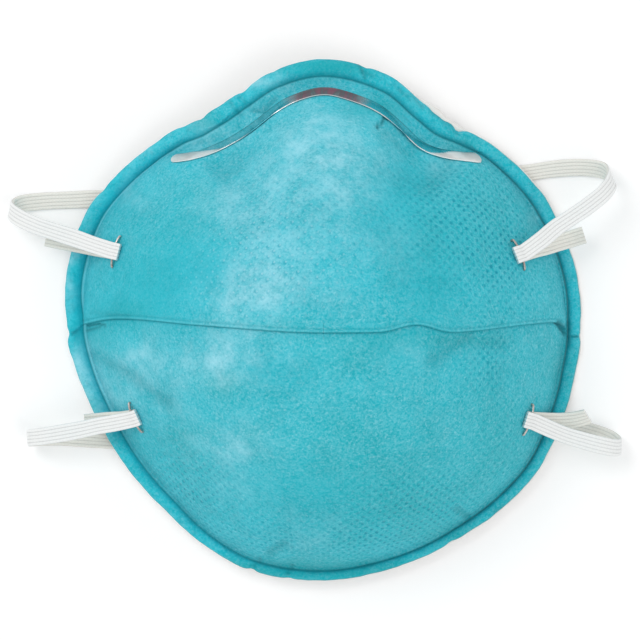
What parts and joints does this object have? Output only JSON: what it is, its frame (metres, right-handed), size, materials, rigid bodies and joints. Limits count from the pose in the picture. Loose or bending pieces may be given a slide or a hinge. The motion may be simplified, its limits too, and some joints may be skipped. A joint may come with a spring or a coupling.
{
  "type": "surgical respirator",
  "caption": "Moulded cup respirator lying rim down: teal nonwoven cover with a lapped fold, white liner, aluminium nose clip, braided elastic straps and wire staples.",
  "frame": {"origin": "middle of the footprint, on the surface it lies on", "axes": "+Z out of the front of the cup, away from the face; +Y towards the nose; +X towards the wearer's left cheek"},
  "size_m": [0.152, 0.1292, 0.0525],
  "materials": {
    "cover_fabric": "matte calendered nonwoven, dyed teal",
    "liner_felt": "matte white moulded felt",
    "clip_aluminium": "bright rolled strip",
    "strap_elastic": "ribbed white braided elastic",
    "staple_wire": "drawn wire"
  },
  "bodies": {
    "root": {"outer_cover": "cover_fabric", "inner_shell": "liner_felt", "nose_clip": "clip_aluminium", "upper_strap": "strap_elastic", "lower_strap": "strap_elastic", "staple_upper_left": "staple_wire", "staple_upper_right": "staple_wire", "staple_lower_left": "staple_wire", "staple_lower_right": "staple_wire"}
  },
  "joints": []
}
